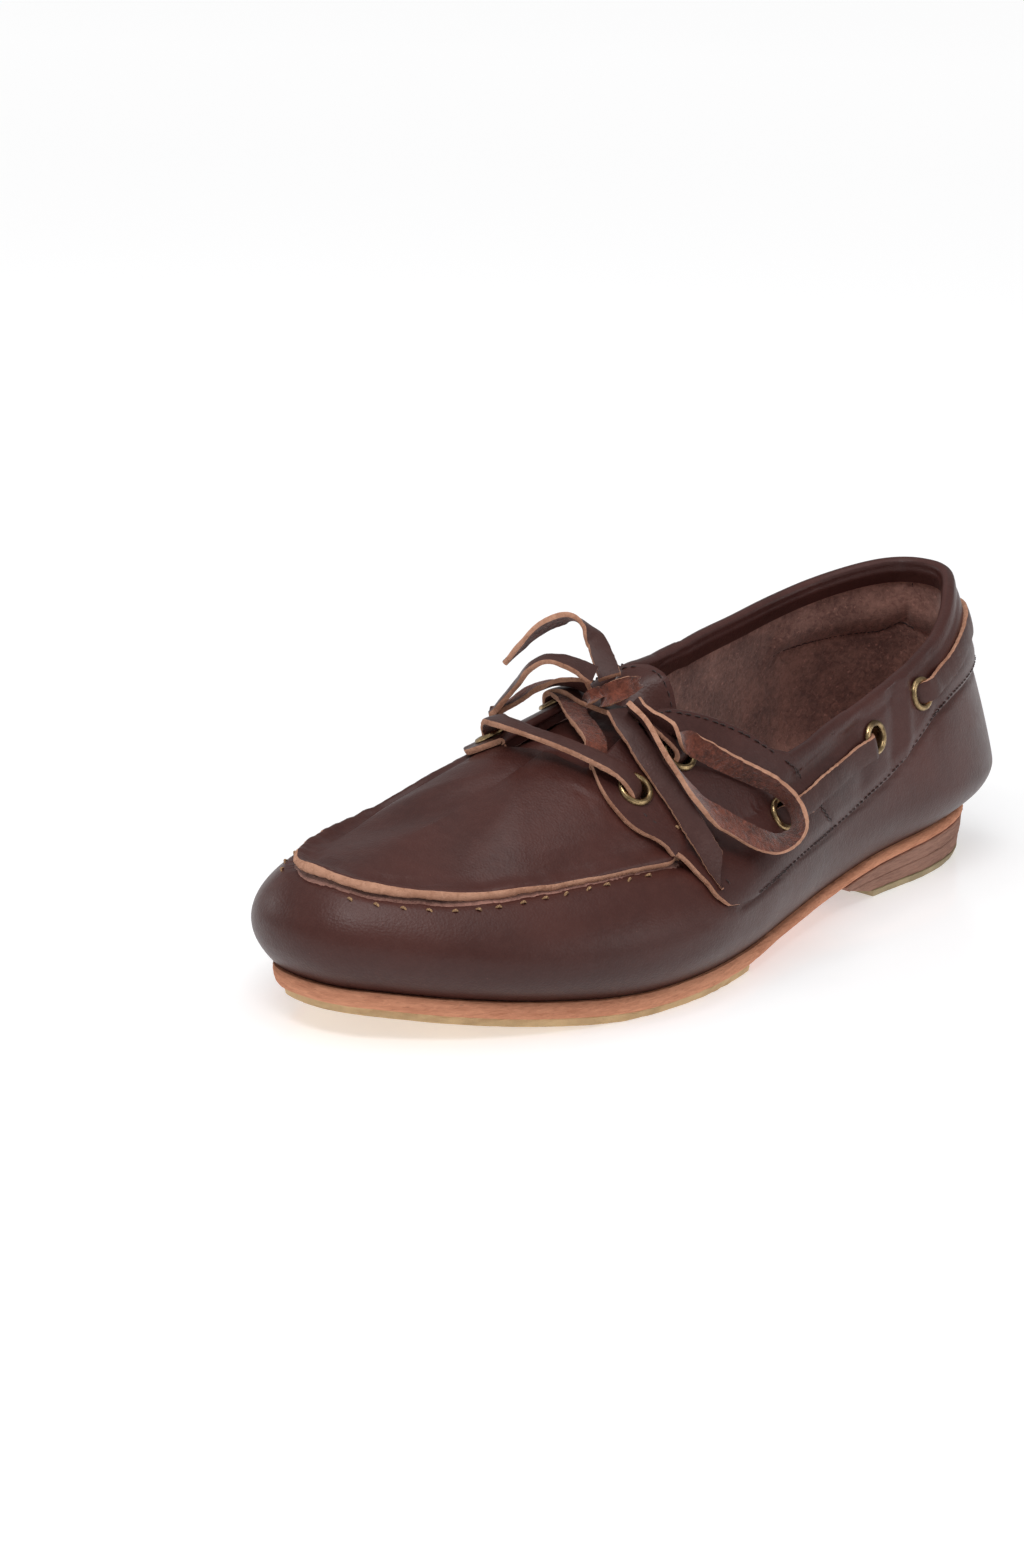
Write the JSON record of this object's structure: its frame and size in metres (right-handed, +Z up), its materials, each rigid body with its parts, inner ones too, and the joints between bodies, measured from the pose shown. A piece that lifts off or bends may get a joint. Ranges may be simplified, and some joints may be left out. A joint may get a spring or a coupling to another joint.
{
  "type": "moccasin boat shoe",
  "caption": "Low moccasin boat shoe with a raised apron seam, leather side lace through brass eyelets, instep bow, leather sole and stacked heel.",
  "frame": {"origin": "middle of the bottom of the shoe's box, on the plane that the heel and forefoot stand on", "axes": "+Z up, -Y towards the toe, +X towards the outer (lateral) side of this left shoe"},
  "size_m": [0.1023, 0.2779, 0.0913],
  "materials": {
    "upper_leather": "smooth dark brown full grain, satin, raw edges paler",
    "lining_suede": "brown suede lining, matte",
    "sole_leather": "orange-tan sole leather, matte fibrous edge",
    "heel_leather": "brown stacked heel leather, matte",
    "tread_rubber": "cream crepe rubber, matte",
    "heel_rubber": "olive rubber, matte",
    "antique_brass": "antique brass, worn",
    "lace_leather": "dark brown leather thong, suede back, paler cut edges"
  },
  "bodies": {
    "root": {"outsole": "sole_leather", "forefoot_tread": "tread_rubber", "heel_lift_upper": "heel_leather", "heel_lift_lower": "heel_leather", "heel_top_piece": "heel_rubber", "insole": "lining_suede", "upper": "upper_leather", "quarter": "upper_leather", "tongue": "upper_leather", "eyelet_front_lower_lateral": "antique_brass", "eyelet_front_lower_medial": "antique_brass", "eyelet_front_upper_lateral": "antique_brass", "eyelet_front_upper_medial": "antique_brass", "eyelet_side_front_lateral": "antique_brass", "eyelet_side_front_medial": "antique_brass", "eyelet_side_middle_lateral": "antique_brass", "eyelet_side_middle_medial": "antique_brass", "eyelet_side_rear_lateral": "antique_brass", "eyelet_side_rear_medial": "antique_brass", "side_lace_lateral": "lace_leather", "side_lace_medial": "lace_leather", "heel_lace": "lace_leather", "lace_front_bar": "lace_leather", "lace_crossings": "lace_leather", "lace_knot": "lace_leather", "lace_loop_lateral": "lace_leather", "lace_loop_medial": "lace_leather", "lace_end_lateral": "lace_leather", "lace_end_medial": "lace_leather"}
  },
  "joints": []
}
